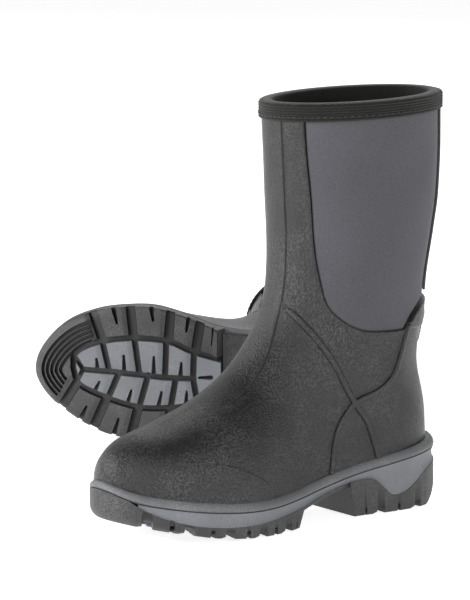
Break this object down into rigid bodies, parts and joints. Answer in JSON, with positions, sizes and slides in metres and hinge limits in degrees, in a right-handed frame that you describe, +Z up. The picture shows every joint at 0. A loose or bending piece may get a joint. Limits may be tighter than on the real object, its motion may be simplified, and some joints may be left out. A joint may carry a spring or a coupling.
{
  "type": "pair of half-height rubber and neoprene boots",
  "caption": "Pair of half-height stable boots in black rubber with grey neoprene shaft panels, one standing and one lying on its side, sole showing",
  "frame": {"origin": "middle of the pair's footprint, on the floor that the boots rest on", "axes": "+Z up; the right boot lies on its outer side with its shaft along +Y and its toe towards -X; the left boot stands nearer to -Y with its toe turned 220.7 degrees from +X"},
  "size_m": [0.3276, 0.6908, 0.305],
  "materials": {
    "shell_rubber": "satin black rubber with a fine grain",
    "rim_rubber": "satin grey rubber",
    "tread_rubber": "satin moulded rubber",
    "grey_rubber": "matte grey moulded rubber",
    "neoprene_panel": "fine knit over neoprene",
    "neoprene_lining": "black knit over neoprene",
    "webbing": "ribbed woven tape with a row of stitches",
    "insole_board": "pressed fibre board",
    "footbed_foam": "foam with a black cloth face",
    "shank_steel": "plain steel strip"
  },
  "bodies": {
    "left_boot": {"left_outsole_forefoot": "tread_rubber", "left_outsole_heel": "tread_rubber", "left_tread_insert": "grey_rubber", "left_arch_plate": "tread_rubber", "left_midsole": "grey_rubber", "left_shank": "shank_steel", "left_sole_rim": "rim_rubber", "left_insole_board": "insole_board", "left_footbed": "footbed_foam", "left_rubber_shell": "shell_rubber", "left_outer_panel": "neoprene_panel", "left_inner_panel": "neoprene_panel", "left_lining": "neoprene_lining", "left_toe_cap": "shell_rubber", "left_shin_strip": "shell_rubber", "left_back_stay": "shell_rubber", "left_kick_tab": "shell_rubber", "left_outer_ankle_bands": "shell_rubber", "left_inner_ankle_bands": "shell_rubber", "left_collar_binding": "webbing"},
    "right_boot": {"right_outsole_forefoot": "tread_rubber", "right_outsole_heel": "tread_rubber", "right_tread_insert": "grey_rubber", "right_arch_plate": "tread_rubber", "right_midsole": "grey_rubber", "right_shank": "shank_steel", "right_sole_rim": "rim_rubber", "right_insole_board": "insole_board", "right_footbed": "footbed_foam", "right_rubber_shell": "shell_rubber", "right_outer_panel": "neoprene_panel", "right_inner_panel": "neoprene_panel", "right_lining": "neoprene_lining", "right_toe_cap": "shell_rubber", "right_shin_strip": "shell_rubber", "right_back_stay": "shell_rubber", "right_kick_tab": "shell_rubber", "right_outer_ankle_bands": "shell_rubber", "right_inner_ankle_bands": "shell_rubber", "right_collar_binding": "webbing"}
  },
  "joints": [
    {"name": "right_boot_slide", "type": "slide", "parent": "left_boot", "child": "right_boot", "axis": [0, 1, 0], "range_m": [0, 0.3]}
  ]
}
